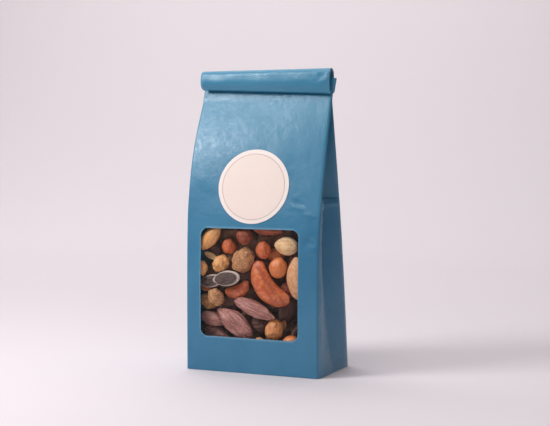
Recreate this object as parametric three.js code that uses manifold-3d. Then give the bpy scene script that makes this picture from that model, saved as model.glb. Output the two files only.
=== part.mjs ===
// Filled stand-up paper pouch: one folded sheet with a block bottom, side gussets and a rolled top,
// a film window, a round label and the nuts that lie behind the window.
// Millimetres, +Z up. The front panel faces -Y and the origin is the middle of the base.

import * as THREE from 'three';
import { mergeVertices } from 'three/addons/utils/BufferGeometryUtils.js';
import Module from 'manifold-3d';

const wasm = await Module();
wasm.setup();

const { lerp, clamp, smoothstep, degToRad } = THREE.MathUtils;

// Sheet and fits
const paperThickness = 0.2;
const filmThickness = 0.1;
const labelThickness = 0.15;
const layerGap = 0.25; // air between two layers of folded paper
const seatGap = 0.3; // air between two pieces that touch

// Bag
const bagWidth = 86;
const baseDepth = 50.6;
const bagHeight = 181.7;
const shoulderHeight = 104; // above it the panels lean in to the neck
const neckHeight = 164; // where the panels meet under the roll
const neckY = -2.3;
const topTwist = degToRad(1.25); // the roll is turned a little against the base
const leftEdge = { setback: 2, bow: 3.2 };
const rightEdge = { setback: 5, bow: 0.4 };
const edgeEase = 4.8; // the edges stay upright, then lean in close to the shoulder
const backBow = 2.6;
const frontBulge = 1.5;
const backBulge = 2;
const cornerRound = 1.2;
const foldNose = 0.15;
const lowFold = 0.5; // share of its full fold that the filled gusset takes
const shoulderFoldSpan = 12; // height over which the gusset folds in at the shoulder

// Folded bottom
const flapReach = 9; // past the middle of the base
const flapInset = 1;
const flapTaper = 12;

// Rolled top
const rollBottomLeft = 170;
const rollBottomRight = 166.4;
const rollBackY = 0.2;
const rollSpan = 6.3; // from the middle of the back run to the middle of the front run
const rollInnerSpan = 2.6; // from the middle of the front run to the middle of the inner run
const rollFrontBulge = 0.5;
const rollInnerDrop = 5.2; // the open end stops this far under the top run
const rollSlide = 1.7; // the inner run stands out of the right end

// Window and film
const windowWidth = 63.8;
const windowHeight = 65.2;
const windowSill = 21.3; // above the floor
const windowShift = -1.4; // of its middle, along X
const windowCorner = 4.5;
const filmLap = 5; // film behind the paper on each side

// Label
const labelDiameter = 45;
const labelHeight = 111.6;
const labelShift = -0.3;

// Nuts
const heapHeight = 95;
const heapDepth = 15; // from the front panel to the foot of the nuts in the heap's face
const pressTurn = degToRad(24); // nuts lie behind one another along this line, turned from +Y
const heapPitch = 11.5;
const heapNut = 12.5;
const heapStep = 2.6; // facets of the heap's face
const settleRounds = 3;
const aimDepth = 5.6; // the nuts' places are given this far behind the front panel
const sideSteps = 4; // steps of one cell that a nut may move aside for its neighbours
const sideEffort = 1.2; // depth that a nut gives up before it moves aside by as much

// Worked out from the sizes above
const halfWidth = bagWidth / 2;
const halfDepth = baseDepth / 2;
const foldPitch = 2 * paperThickness + layerGap;
const stackHalf = foldPitch + layerGap / 2; // half the thickness of the four folded layers
const windowX = windowShift;
const windowZ = windowSill + windowHeight / 2;

// Panels of the bag

const twistAt = (x) => -x * Math.tan(topTwist);

function frontEdgeY(z, edge, x) {
  if (z <= shoulderHeight) return -halfDepth + edge.setback * (z / shoulderHeight) ** edgeEase;
  const rise = (z - shoulderHeight) / (neckHeight - shoulderHeight);
  const top = neckY + twistAt(x) - stackHalf;
  return lerp(edge.setback - halfDepth, top, rise) - edge.bow * Math.sin(Math.PI * rise);
}

function bulgeAt(x, z) {
  const across = 1 - (x / halfWidth) ** 2;
  return across * Math.sin(Math.PI * clamp(z / (1.2 * shoulderHeight), 0, 1));
}

/** Outer face of the front panel. */
function frontY(x, z) {
  const left = frontEdgeY(z, leftEdge, -halfWidth);
  const right = frontEdgeY(z, rightEdge, halfWidth);
  return lerp(left, right, x / bagWidth + 0.5) - frontBulge * bulgeAt(x, z);
}

/** Outer face of the back panel. */
function backY(x, z) {
  const rise = z / neckHeight;
  const top = neckY + twistAt(x) + stackHalf;
  return lerp(halfDepth, top, rise) + backBow * Math.sin(Math.PI * rise) + backBulge * bulgeAt(x, z);
}

/** Back face of the film, which follows the inside of the front panel. */
function filmBackY(x, z) {
  return frontY(x, z) + paperThickness + seatGap + filmThickness;
}

/** How much of its full fold the gusset takes: little beside the nuts, all of it above them. */
function foldShareAt(z) {
  const start = shoulderHeight - shoulderFoldSpan / 3;
  return lerp(lowFold, 1, smoothstep(z, start, start + shoulderFoldSpan));
}

/** Side gusset in one section, as distances in from the side and places from front to back. */
function gussetProfile(front, back, foldShare) {
  const half = (back - front) / 2;
  const middle = (back + front) / 2;
  const drop = Math.min(cornerRound, half - layerGap / 2);
  const inset = foldShare * Math.sqrt(Math.max(halfDepth ** 2 - half ** 2, 0));
  const soft = inset * (0.5 - 0.2 * (1 - foldShare));
  const noseShare = (drop - foldPitch) / (cornerRound - foldPitch);
  const creaseFront = middle - layerGap / 2;
  const creaseBack = middle + layerGap / 2;
  return {
    nose: lerp(foldNose, cornerRound, noseShare),
    points: [
      [0, front + drop],
      [soft, lerp(front + drop, creaseFront, 0.5)],
      [inset, creaseFront],
      [inset, creaseBack],
      [soft, lerp(back - drop, creaseBack, 0.5)],
      [0, back - drop],
    ],
  };
}

// The tube: closed sections that follow the body and then the roll

const panelSteps = 8;

/** One section, counter-clockwise from above: front panel, right gusset, back panel, left gusset. */
function sectionLoop(section) {
  const right = gussetProfile(section.front(halfWidth), section.back(halfWidth), section.foldShare);
  const left = gussetProfile(section.front(-halfWidth), section.back(-halfWidth), section.foldShare);
  const loop = [];
  for (let i = 0; i <= panelSteps; i++) {
    const x = lerp(left.nose - halfWidth, halfWidth - right.nose, i / panelSteps);
    loop.push([x, section.front(x)]);
  }
  for (const [inset, y] of right.points) loop.push([halfWidth - inset, y]);
  for (let i = panelSteps; i >= 0; i--) {
    const x = lerp(left.nose - halfWidth, halfWidth - right.nose, i / panelSteps);
    loop.push([x, section.back(x)]);
  }
  for (const [inset, y] of left.points.toReversed()) loop.push([inset - halfWidth, y]);
  return loop;
}

/** The same loop moved inwards by one thickness, with mitred corners. */
function insetLoop(loop, thickness) {
  const count = loop.length;
  return loop.map((point, i) => {
    const before = new THREE.Vector2(...loop[(i + count - 1) % count]);
    const here = new THREE.Vector2(...point);
    const after = new THREE.Vector2(...loop[(i + 1) % count]);
    const arriving = here.clone().sub(before).normalize();
    const leaving = after.sub(here).normalize();
    const normalIn = new THREE.Vector2(-arriving.y, arriving.x);
    const normalOut = new THREE.Vector2(-leaving.y, leaving.x);
    const mitre = normalIn.clone().add(normalOut).normalize();
    mitre.multiplyScalar(thickness / mitre.dot(normalOut));
    return [here.x + mitre.x, here.y + mitre.y];
  });
}

function bodySection(z) {
  return {
    front: (x) => frontY(x, z),
    back: (x) => backY(x, z),
    foldShare: foldShareAt(z),
    place: (x, y) => new THREE.Vector3(x, y, z),
  };
}

/** Middle line of the roll at one place across the bag, from the neck to the open end. */
function rollLine(x) {
  const twist = twistAt(x);
  const back = rollBackY + twist;
  const front = back - rollSpan;
  const inner = front + rollInnerSpan;
  const top = bagHeight - stackHalf;
  const bottom = lerp(rollBottomLeft, rollBottomRight, x / bagWidth + 0.5) + stackHalf;
  const topRadius = rollSpan / 2;
  const bottomRadius = rollInnerSpan / 2;
  const line = [];
  for (let t = 0; t <= 1; t += 1 / 4) {
    const y = lerp(neckY + twist, back, Math.sin(t * Math.PI / 2));
    line.push([y, lerp(neckHeight, top - topRadius, t)]);
  }
  for (let t = 1 / 6; t < 1.01; t += 1 / 6) {
    const turn = Math.PI * t;
    line.push([back - topRadius + topRadius * Math.cos(turn), top - topRadius + topRadius * Math.sin(turn)]);
  }
  for (let t = 1 / 3; t < 1.01; t += 1 / 3) {
    const y = front - rollFrontBulge * Math.sin(Math.PI * t);
    line.push([y, lerp(top - topRadius, bottom + bottomRadius, t)]);
  }
  for (let t = 1 / 5; t < 1.01; t += 1 / 5) {
    const turn = Math.PI * (1 + t);
    const y = front + bottomRadius + bottomRadius * Math.cos(turn);
    line.push([y, bottom + bottomRadius + bottomRadius * Math.sin(turn)]);
  }
  for (const t of [0.5, 1]) line.push([inner, lerp(bottom + bottomRadius, top - rollInnerDrop, t)]);
  return line;
}

const rollSteps = rollLine(0).length;
const slideStart = rollSteps - 8; // the inner run slides out from the bottom bend on

function rollSection(step) {
  const slide = rollSlide * clamp((step - slideStart) / (rollSteps - 1 - slideStart), 0, 1);
  return {
    front: () => -stackHalf,
    back: () => stackHalf,
    foldShare: 1,
    place: (x, across) => {
      const line = rollLine(x);
      const [y, z] = line[step];
      const [y0, z0] = line[Math.max(step - 1, 0)];
      const [y1, z1] = line[Math.min(step + 1, rollSteps - 1)];
      const along = new THREE.Vector2(y1 - y0, z1 - z0).normalize();
      return new THREE.Vector3(x + slide, y + across * along.y, z - across * along.x);
    },
  };
}

function bagSections() {
  const sections = [];
  const low = 9;
  for (let i = 0; i <= low; i++) sections.push(bodySection(lerp(paperThickness, shoulderHeight - 5, i / low)));
  const heights = [shoulderHeight - 2, shoulderHeight + 1, shoulderHeight + 4, shoulderHeight + 8];
  for (const z of heights) sections.push(bodySection(z));
  const high = 6;
  for (let i = 1; i < high; i++) {
    sections.push(bodySection(lerp(shoulderHeight + 8, neckHeight, i / high)));
  }
  for (let step = 0; step < rollSteps; step++) sections.push(rollSection(step));
  return sections;
}

/** The sheet as one closed skin: outside, inside, floor and the rim of the open end. */
function bagShell() {
  const sections = bagSections();
  const outer = [];
  const inner = [];
  for (const [index, section] of sections.entries()) {
    const loop = sectionLoop(section);
    const inside = insetLoop(loop, paperThickness);
    const lift = index === 0 ? paperThickness : 0;
    outer.push(loop.map(([x, y]) => section.place(x, y)));
    inner.push(inside.map(([x, y]) => section.place(x, y).add(new THREE.Vector3(0, 0, lift))));
  }
  const points = [...outer.flat(), ...inner.flat()];
  const count = outer[0].length;
  const rings = outer.length;
  const index = [];
  const quad = (a, b, c, d) => index.push(a, b, c, a, c, d);
  for (let k = 0; k < rings - 1; k++) {
    for (let i = 0; i < count; i++) {
      const next = (i + 1) % count;
      const low = k * count;
      const high = low + count;
      quad(low + i, low + next, high + next, high + i);
      const deep = rings * count; // both skins are split along the same diagonal
      quad(deep + low + i, deep + high + i, deep + high + next, deep + low + next);
    }
  }
  const rim = (rings - 1) * count;
  const rimInside = rim + rings * count;
  const centre = points.length;
  points.push(new THREE.Vector3(0, 0, paperThickness), new THREE.Vector3(0, 0, 2 * paperThickness));
  for (let i = 0; i < count; i++) {
    const next = (i + 1) % count;
    quad(rim + i, rim + next, rimInside + next, rimInside + i);
    index.push(centre, next, i);
    index.push(centre + 1, rings * count + i, rings * count + next);
  }
  return indexed(points, index);
}

/** Last flap of the folded bottom: the flat face that the bag stands on. */
function bottomFlap() {
  const wide = halfWidth - flapInset;
  const shape = new THREE.Shape([
    new THREE.Vector2(-wide, flapInset - halfDepth),
    new THREE.Vector2(wide, flapInset - halfDepth),
    new THREE.Vector2(wide - flapTaper / 4, flapReach - flapTaper),
    new THREE.Vector2(wide - flapTaper, flapReach),
    new THREE.Vector2(flapTaper - wide, flapReach),
    new THREE.Vector2(flapTaper / 4 - wide, flapReach - flapTaper),
  ]);
  return new THREE.ExtrudeGeometry(shape, { depth: 1.5 * paperThickness, bevelEnabled: false });
}

function windowOutline(width, height, corner) {
  const shape = new THREE.Shape();
  const x = width / 2 - corner;
  const z = height / 2 - corner;
  shape.absarc(x, z, corner, 0, Math.PI / 2);
  shape.absarc(-x, z, corner, Math.PI / 2, Math.PI);
  shape.absarc(-x, -z, corner, Math.PI, 1.5 * Math.PI);
  shape.absarc(x, -z, corner, 1.5 * Math.PI, 2 * Math.PI);
  return shape;
}

/** Block that cuts the window through the front panel alone. */
function windowCutter() {
  const outline = windowOutline(windowWidth, windowHeight, windowCorner);
  const cutter = new THREE.ExtrudeGeometry(outline, { depth: halfDepth, bevelEnabled: false, curveSegments: 6 });
  cutter.rotateX(Math.PI / 2);
  cutter.translate(windowX, -halfDepth / 2, windowZ);
  return cutter;
}

function bagPaper() {
  const bag = solid(bagShell()).add(solid(bottomFlap())).subtract(solid(windowCutter()));
  return geometryOf(bag);
}

// Closed meshes from points

function indexed(points, index) {
  const geometry = new THREE.BufferGeometry().setFromPoints(points);
  geometry.setIndex(index);
  return geometry;
}

function solid(geometry) {
  const bare = geometry.clone();
  bare.deleteAttribute('normal');
  bare.deleteAttribute('uv');
  const merged = mergeVertices(bare, 1e-4);
  const vertProperties = new Float32Array(merged.attributes.position.array);
  const triVerts = new Uint32Array(merged.index.array);
  return new wasm.Manifold(new wasm.Mesh({ numProp: 3, vertProperties, triVerts }));
}

function geometryOf(manifold) {
  const mesh = manifold.getMesh();
  const geometry = new THREE.BufferGeometry();
  geometry.setAttribute('position', new THREE.BufferAttribute(mesh.vertProperties, 3));
  geometry.setIndex(new THREE.BufferAttribute(mesh.triVerts, 1));
  return geometry;
}

/** Thin sheet between a front face and a back face, both given over the same grid. */
function sheetSolid(columns, rows, faceAt, thickness) {
  const points = [];
  for (const depth of [0, thickness]) {
    for (let j = 0; j <= rows; j++) {
      for (let i = 0; i <= columns; i++) {
        const [x, z] = faceAt(i / columns, j / rows);
        points.push([x, depth, z]);
      }
    }
  }
  const wide = columns + 1;
  const back = wide * (rows + 1);
  const index = [];
  const quad = (a, b, c, d) => index.push(a, b, c, a, c, d);
  for (let j = 0; j < rows; j++) {
    for (let i = 0; i < columns; i++) {
      const a = j * wide + i;
      quad(a, a + 1, a + wide + 1, a + wide);
      quad(back + a + 1, back + a, back + a + wide, back + a + wide + 1);
    }
  }
  const border = [];
  for (let i = 0; i < columns; i++) border.push(i);
  for (let j = 0; j < rows; j++) border.push(j * wide + columns);
  for (let i = columns; i > 0; i--) border.push(rows * wide + i);
  for (let j = rows; j > 0; j--) border.push(j * wide);
  for (let i = 0; i < border.length; i++) {
    const a = border[i];
    const b = border[(i + 1) % border.length];
    quad(b, a, back + a, back + b);
  }
  return { points, index };
}

/** Clear film glued behind the window, one clearance inside the paper. */
function windowFilm() {
  const width = windowWidth + 2 * filmLap;
  const height = windowHeight + 2 * filmLap;
  const faceAt = (u, v) => [windowX + (u - 0.5) * width, windowZ + (v - 0.5) * height];
  const { points, index } = sheetSolid(6, 7, faceAt, filmThickness);
  const face = (x, z) => filmBackY(x, z) - filmThickness;
  return indexed(points.map(([x, depth, z]) => new THREE.Vector3(x, face(x, z) + depth, z)), index);
}

/** Round paper label on the leaning front panel. */
function roundLabel() {
  const radius = labelDiameter / 2;
  const lean = (frontY(labelShift, labelHeight + radius) - frontY(labelShift, labelHeight - radius)) / labelDiameter;
  const drop = Math.cos(Math.asin(lean));
  const segments = 32;
  const radii = [radius / 2, radius];
  const points = [];
  for (const depth of [labelThickness, 0]) {
    points.push([labelShift, depth, labelHeight]);
    for (const ring of radii) {
      for (let i = 0; i < segments; i++) {
        const turn = 2 * Math.PI * i / segments;
        points.push([labelShift + ring * Math.cos(turn), depth, labelHeight + ring * drop * Math.sin(turn)]);
      }
    }
  }
  const back = 1 + 2 * segments;
  const index = [];
  const quad = (a, b, c, d) => index.push(a, b, c, a, c, d);
  for (let i = 0; i < segments; i++) {
    const here = 1 + i;
    const next = 1 + (i + 1) % segments;
    index.push(0, here, next);
    index.push(back, back + next, back + here);
    quad(here, here + segments, next + segments, next);
    quad(back + next, back + next + segments, back + here + segments, back + here);
    quad(here + segments, back + here + segments, back + next + segments, next + segments);
  }
  const face = (x, z) => frontY(x, z) - seatGap;
  return indexed(points.map(([x, depth, z]) => new THREE.Vector3(x, face(x, z) - depth, z)), index);
}

// Nuts

const kernelForms = {
  almond: { tip: 0.62, heel: 0.12, bend: 0, lump: 0.02 },
  hazelnut: { tip: 0.18, heel: 0, bend: 0, lump: 0.02 },
  cashew: { tip: 0.1, heel: 0.05, bend: 2.2, lump: 0.02 },
  chickpea: { tip: 0.12, heel: 0, bend: 0, lump: 0.06 },
  seed: { tip: 0.5, heel: 0.1, bend: 0, lump: 0 },
  nugget: { tip: 0.05, heel: 0.1, bend: 0, lump: 0.09 },
};

/** A nut about its own middle: long way along X, width along Z, thickness along Y. */
function kernel(form, [length, width, thickness]) {
  const { tip, heel, bend, lump } = kernelForms[form];
  const geometry = new THREE.SphereGeometry(1, 9, 6);
  geometry.rotateZ(-Math.PI / 2);
  const place = geometry.attributes.position;
  for (let i = 0; i < place.count; i++) {
    const along = place.getX(i);
    const turn = Math.atan2(place.getZ(i), place.getY(i));
    const narrow = 1 - (along > 0 ? tip * along ** 2 : heel * along ** 2);
    const ripple = 1 + lump * Math.sin(3 * turn + 2 * along) * Math.cos(4 * along + 1);
    const x = along * length / 2;
    const y = place.getY(i) * narrow * ripple * thickness / 2;
    const z = place.getZ(i) * narrow * ripple * width / 2;
    if (bend === 0) {
      place.setXYZ(i, x, y, z);
      continue;
    }
    const radius = length / bend;
    const angle = x / radius;
    place.setXYZ(i, (radius - z) * Math.sin(angle), y, radius * (1 - bend / 8) - (radius - z) * Math.cos(angle));
  }
  return geometry;
}

// Each row: name, form, colour, place on the front panel, size, and its turn as seen from the front.
// swing turns the far end away from the window, roll turns the nut about its own length.
const nutRows = [
  ['pistachio_right', 'seed', 0xd8b583, [21.2, 76.7], [15, 11, 9], { spin: 176 }],
  ['sunflower_seed_top', 'seed', 0x7d6a60, [-18.1, 56.3], [18, 9.6, 4.5], { spin: -172 }],
  ['chickpea_large', 'nugget', 0xb98a52, [-7.1, 67.2], [17, 14.2, 12], { spin: 65 }],
  ['almond_dusty_large', 'almond', 0x9c7468, [-12.6, 29.6], [28, 14, 9], { spin: 145 }],
  ['almond_dusty_long', 'almond', 0x93695f, [0.6, 38.6], [28.5, 11, 8], { spin: -21 }],
  ['cashew_large', 'cashew', 0xb0643a, [9.6, 54.2], [33, 12, 10], { spin: -50 }],
  ['nugget_gold_low', 'nugget', 0xc98c46, [10.8, 27.9], [14, 11.5, 10], { spin: 80 }],
  ['almond_tan_right', 'almond', 0xc89c68, [28.6, 58], [26, 15, 9], { spin: 96 }],
  ['almond_blanched', 'almond', 0xd0a25c, [-28.6, 80.6], [21, 10.5, 8], { spin: 48 }],
  ['chickpea_seam', 'chickpea', 0xc09868, [-21.9, 64.9], [11.5, 10.5, 9], { spin: 35 }],
  ['chickpea_gold', 'chickpea', 0xb88a50, [-25.2, 43.7], [11.4, 10.6, 9], { spin: -60 }],
  ['hazelnut_red', 'hazelnut', 0xa85a34, [-18.1, 73.2], [10, 9.6, 9], { spin: 100 }],
  ['hazelnut_orange', 'hazelnut', 0xb06a3c, [6.3, 73.9], [11, 9.6, 9.4], { spin: 95 }],
  ['hazelnut_smooth', 'hazelnut', 0xb4774a, [15.2, 63.2], [13, 11.6, 10], { spin: 80 }],
  ['cashew_small', 'cashew', 0xb8703a, [-11.2, 49.8], [19, 8, 7], { spin: 22 }],
  ['sunflower_seed_low', 'seed', 0x8a7060, [-27.4, 51.9], [15.5, 8, 4], { spin: -168 }],
  ['seed_sliver', 'seed', 0xe4cdb4, [-28.6, 68.9], [10, 4, 2.6], { spin: -22 }],
  ['hazelnut_dark', 'hazelnut', 0x8c5038, [-6.4, 80.3], [11, 10.4, 9.4], { spin: -80 }],
  ['almond_dark_top', 'almond', 0x7c4432, [7.4, 86], [22, 9, 8], { spin: -8 }],
  ['almond_pink_upper', 'almond', 0xa87c6c, [-26.6, 30.4], [19, 10, 8], { spin: -12 }],
  ['almond_pink_lower', 'almond', 0xb08270, [-25, 22.4], [20, 10, 8], { spin: -18 }],
  ['peanut_tan', 'hazelnut', 0xc89c64, [-31.4, 38.6], [12.5, 10, 8], { spin: -40 }],
  ['hazelnut_low', 'hazelnut', 0xc08048, [21.8, 21.4], [12, 9.4, 8], { spin: 15 }],
  ['seed_small_low', 'seed', 0xb87840, [19.4, 28.4], [7.6, 5, 3.6], { spin: 75 }],
  ['chip_pale_low', 'nugget', 0xe0d0c0, [-2.2, 19.6], [6, 4.5, 4], { spin: 60 }],
  ['chip_tan_low', 'nugget', 0xc8a070, [3.4, 18.8], [7, 5, 4.5], { spin: 5 }],
  ['skin_chip_left', 'seed', 0xa86a58, [-32.2, 49.6], [7.4, 6, 3], { spin: -20 }],
  ['hazelnut_upper_right', 'hazelnut', 0xa86840, [14.6, 70.2], [11, 9, 9], { spin: 0 }],
  ['peanut_gold_left', 'hazelnut', 0xb88450, [-32.6, 59.6], [9.4, 8.4, 8], { spin: 80 }],
  ['hazelnut_dark_right', 'hazelnut', 0x6e3c2c, [22.4, 50], [11, 10.4, 9], { spin: 30 }],
  ['almond_shaded_left', 'almond', 0x5e4440, [-16.2, 42.4], [20, 11, 8], { spin: 20 }],
  ['almond_shaded_right', 'almond', 0x4c3434, [22.8, 38.4], [22, 12, 9], { spin: 70 }],
  ['hazelnut_shaded_middle', 'hazelnut', 0x5a3a2e, [-4.6, 57.6], [11.5, 11, 10], { spin: 50 }],
  ['hazelnut_shaded_low', 'hazelnut', 0x6a4438, [1.6, 28.2], [11.5, 11, 10], { spin: 0 }],
  ['hazelnut_shaded_top_left', 'hazelnut', 0x463038, [-26.2, 71.6], [11, 10, 9], { spin: 10 }],
  ['peanut_shaded_right', 'hazelnut', 0x5c4238, [13.6, 39.4], [12, 10, 9], { spin: 0 }],
];

const pressLine = new THREE.Vector3(-Math.sin(pressTurn), Math.cos(pressTurn), 0);
const straightBack = new THREE.Vector3(0, 1, 0);
const cell = 0.5;

/** Nearest and farthest depth of a shape along one level line, in each cell that it covers. */
function depthCells(geometry, line) {
  const across = new THREE.Vector3(line.y, -line.x, 0);
  const place = geometry.attributes.position;
  const index = geometry.index;
  const corner = [0, 1, 2].map(() => new THREE.Vector3());
  const cells = new Map();
  const samples = 10;
  for (let t = 0; t < index.count; t += 3) {
    corner.forEach((point, k) => point.fromBufferAttribute(place, index.getX(t + k)));
    for (let a = 0; a <= samples; a++) {
      for (let b = 0; b <= samples - a; b++) {
        const point = corner[0].clone().multiplyScalar(samples - a - b);
        point.addScaledVector(corner[1], a).addScaledVector(corner[2], b).divideScalar(samples);
        const column = Math.round(point.dot(across) / cell);
        const row = Math.round(point.z / cell);
        const depth = point.dot(line);
        const known = cells.get(`${column},${row}`) ?? { column, row, near: depth, far: depth };
        known.near = Math.min(known.near, depth);
        known.far = Math.max(known.far, depth);
        cells.set(`${column},${row}`, known);
      }
    }
  }
  return cells;
}

/** Writes a shape's far side into a map of depths, widened by some cells all round. */
function coverCells(map, cells, widen) {
  for (const { column, row, far } of cells.values()) {
    for (let i = -widen; i <= widen; i++) {
      for (let j = -widen; j <= widen; j++) {
        const key = `${column + i},${row + j}`;
        map.set(key, Math.max(map.get(key) ?? -Infinity, far));
      }
    }
  }
}

/** Distance that a nut moves back so that it clears the film and the nuts in front of it. */
function pushNeeded(geometry, taken) {
  const place = geometry.attributes.position;
  let push = -Infinity;
  for (let i = 0; i < place.count; i++) {
    const short = filmBackY(place.getX(i), place.getZ(i)) + seatGap - place.getY(i);
    push = Math.max(push, short / pressLine.y);
  }
  for (const [key, { near }] of depthCells(geometry, pressLine)) {
    if (taken.has(key)) push = Math.max(push, taken.get(key) + seatGap - near);
  }
  return push;
}

/** Distance in from the side plane to the inside of the gusset. */
function gussetWall(side, y, z) {
  const front = frontY(side * halfWidth, z);
  const back = backY(side * halfWidth, z);
  const middle = (front + back) / 2;
  const inset = gussetProfile(front, back, foldShareAt(z)).points[2][0];
  const share = clamp((y - front) / (middle - front), 0, 1);
  return inset * share + paperThickness;
}

/** Sideways move that takes a nut clear of the gussets, towards the middle of the bag. */
function gussetPush(geometry) {
  const place = geometry.attributes.position;
  let push = 0;
  for (let i = 0; i < place.count; i++) {
    const side = Math.sign(place.getX(i));
    const wall = halfWidth - gussetWall(side, place.getY(i), place.getZ(i)) - 2 * seatGap;
    const over = Math.abs(place.getX(i)) - wall;
    if (over > Math.abs(push)) push = -side * over;
  }
  return push;
}

/** Small step aside that lets a nut lie closer to the film, between the nuts already there. */
function stepAside(geometry, taken) {
  const cells = [...depthCells(geometry, pressLine).values()];
  let best = { cost: Infinity };
  for (let i = -sideSteps; i <= sideSteps; i++) {
    for (let j = -sideSteps; j <= sideSteps; j++) {
      let push = 0;
      for (const { column, row, near } of cells) {
        const far = taken.get(`${column + i},${row + j}`) ?? -Infinity;
        push = Math.max(push, far + seatGap - near);
      }
      const cost = push + sideEffort * Math.hypot(i, j) * cell;
      if (cost < best.cost) best = { cost, i, j };
    }
  }
  return new THREE.Vector3(best.i * pressLine.y, -best.i * pressLine.x, best.j).multiplyScalar(cell);
}

/** Every separate nut, settled behind the film one after another. */
function settleNuts() {
  const taken = new Map();
  return nutRows.map(([name, form, colour, [x, z], size, pose]) => {
    const turn = new THREE.Matrix4().makeRotationY(-degToRad(pose.spin));
    turn.multiply(new THREE.Matrix4().makeRotationZ(degToRad(pose.swing ?? 0)));
    turn.multiply(new THREE.Matrix4().makeRotationX(degToRad(pose.roll ?? 0)));
    const geometry = kernel(form, size).applyMatrix4(turn);
    geometry.translate(x, frontY(windowX, windowZ) + aimDepth, z);
    const toFilm = pressLine.clone().multiplyScalar(pushNeeded(geometry, new Map()));
    geometry.translate(toFilm.x + gussetPush(geometry), toFilm.y, 0);
    const aside = stepAside(geometry, taken);
    geometry.translate(aside.x, aside.y, aside.z);
    for (let round = 0; round < settleRounds; round++) {
      const step = pressLine.clone().multiplyScalar(pushNeeded(geometry, taken));
      geometry.translate(step.x, step.y, step.z);
      geometry.translate(gussetPush(geometry), 0, 0);
    }
    coverCells(taken, depthCells(geometry, pressLine), 1);
    return { name, colour, geometry };
  });
}

/** A number from 0 to 1 that is always the same for the same place in the heap. */
function scatter(row, column, salt) {
  const wave = Math.sin(row * 12.9898 + column * 78.233 + salt * 37.719) * 43758.5453;
  return wave - Math.floor(wave);
}

/** How far the nuts in the face of the heap stand out at one place: a row of domes in offset rows. */
function heapRelief(x, z) {
  let height = 0;
  const row0 = Math.round(z / heapPitch);
  for (let row = row0 - 1; row <= row0 + 1; row++) {
    const offset = (row % 2) / 2;
    const column0 = Math.round(x / heapPitch - offset);
    for (let column = column0 - 1; column <= column0 + 1; column++) {
      const middleX = (column + offset + 0.3 * (scatter(row, column, 1) - 0.5)) * heapPitch;
      const middleZ = (row + 0.3 * (scatter(row, column, 2) - 0.5)) * heapPitch;
      const radius = heapNut / 2 * lerp(0.85, 1.15, scatter(row, column, 3));
      const away = ((x - middleX) ** 2 + (z - middleZ) ** 2) / radius ** 2;
      if (away < 1) height = Math.max(height, radius * Math.sqrt(1 - away) + scatter(row, column, 4) * 2);
    }
  }
  return height;
}

/** The rest of the nuts as one block, its face a relief of nuts that stays behind the separate ones. */
function nutHeap(nuts) {
  const taken = new Map();
  const widen = Math.ceil(heapStep / cell) + 1;
  for (const { geometry } of nuts) coverCells(taken, depthCells(geometry, straightBack), widen);
  const floor = 2 * paperThickness + seatGap;
  const rows = Math.round(heapHeight / heapStep);
  const columns = Math.round(bagWidth / heapStep);
  const air = paperThickness + 2 * seatGap;
  const rings = [];
  for (let row = 0; row <= rows; row++) {
    const z = lerp(floor, heapHeight, row / rows);
    const side = (sign, y) => sign * (halfWidth - gussetWall(sign, y, z) - air);
    const start = frontY(0, z) + heapDepth;
    const behindAt = (x) => taken.get(`${Math.round(x / cell)},${Math.round(z / cell)}`) ?? -Infinity;
    let deepest = start;
    for (let x = -halfWidth; x < halfWidth; x += heapStep) deepest = Math.max(deepest, behindAt(x));
    const ring = [];
    for (let column = 0; column <= columns; column++) {
      const x = lerp(side(-1, deepest), side(1, deepest), column / columns);
      const behind = behindAt(x);
      const relief = Math.min(heapRelief(x, z), heapDepth - 2);
      ring.push([x, Math.max(start - relief, behind + seatGap)]);
    }
    for (const sign of [1, -1]) {
      const middle = (frontY(sign * halfWidth, z) + backY(sign * halfWidth, z)) / 2;
      const crease = [side(sign, middle), Math.max(middle, ring[sign > 0 ? columns : 0][1] + 1)];
      const corner = [sign * (halfWidth - cornerRound - air), backY(sign * halfWidth, z) - cornerRound - air];
      ring.push(...(sign > 0 ? [crease, corner] : [corner, crease]));
    }
    rings.push(ring.map(([x, y]) => new THREE.Vector3(x, y, z)));
  }
  return loft(rings, (z) => new THREE.Vector3(0, halfDepth / 3, z));
}

/** Closed skin over a stack of level rings, with a fan over the first and the last. */
function loft(rings, middleAt) {
  const count = rings[0].length;
  const points = [...rings.flat(), middleAt(rings[0][0].z), middleAt(rings.at(-1)[0].z)];
  const index = [];
  for (let k = 0; k < rings.length - 1; k++) {
    for (let i = 0; i < count; i++) {
      const next = (i + 1) % count;
      const low = k * count;
      index.push(low + i, low + next, low + count + next);
      index.push(low + i, low + count + next, low + count + i);
    }
  }
  const top = (rings.length - 1) * count;
  for (let i = 0; i < count; i++) {
    const next = (i + 1) % count;
    index.push(points.length - 2, next, i);
    index.push(points.length - 1, top + i, top + next);
  }
  return indexed(points, index);
}

// Materials

const paperMaterial = () => new THREE.MeshStandardMaterial({ color: 0x3f7c9c, roughness: 0.55, metalness: 0 });
const labelMaterial = () => new THREE.MeshStandardMaterial({ color: 0xefdfd2, roughness: 0.6, metalness: 0 });
const nutMaterial = (color) => new THREE.MeshStandardMaterial({ color, roughness: 0.65, metalness: 0 });

function filmMaterial() {
  return new THREE.MeshStandardMaterial({
    color: 0xf4f6f8,
    roughness: 0.08,
    metalness: 0,
    transparent: true,
    opacity: 0.2,
  });
}

function piece(name, geometry, material) {
  const mesh = new THREE.Mesh(geometry, material);
  mesh.name = name;
  return mesh;
}

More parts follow.
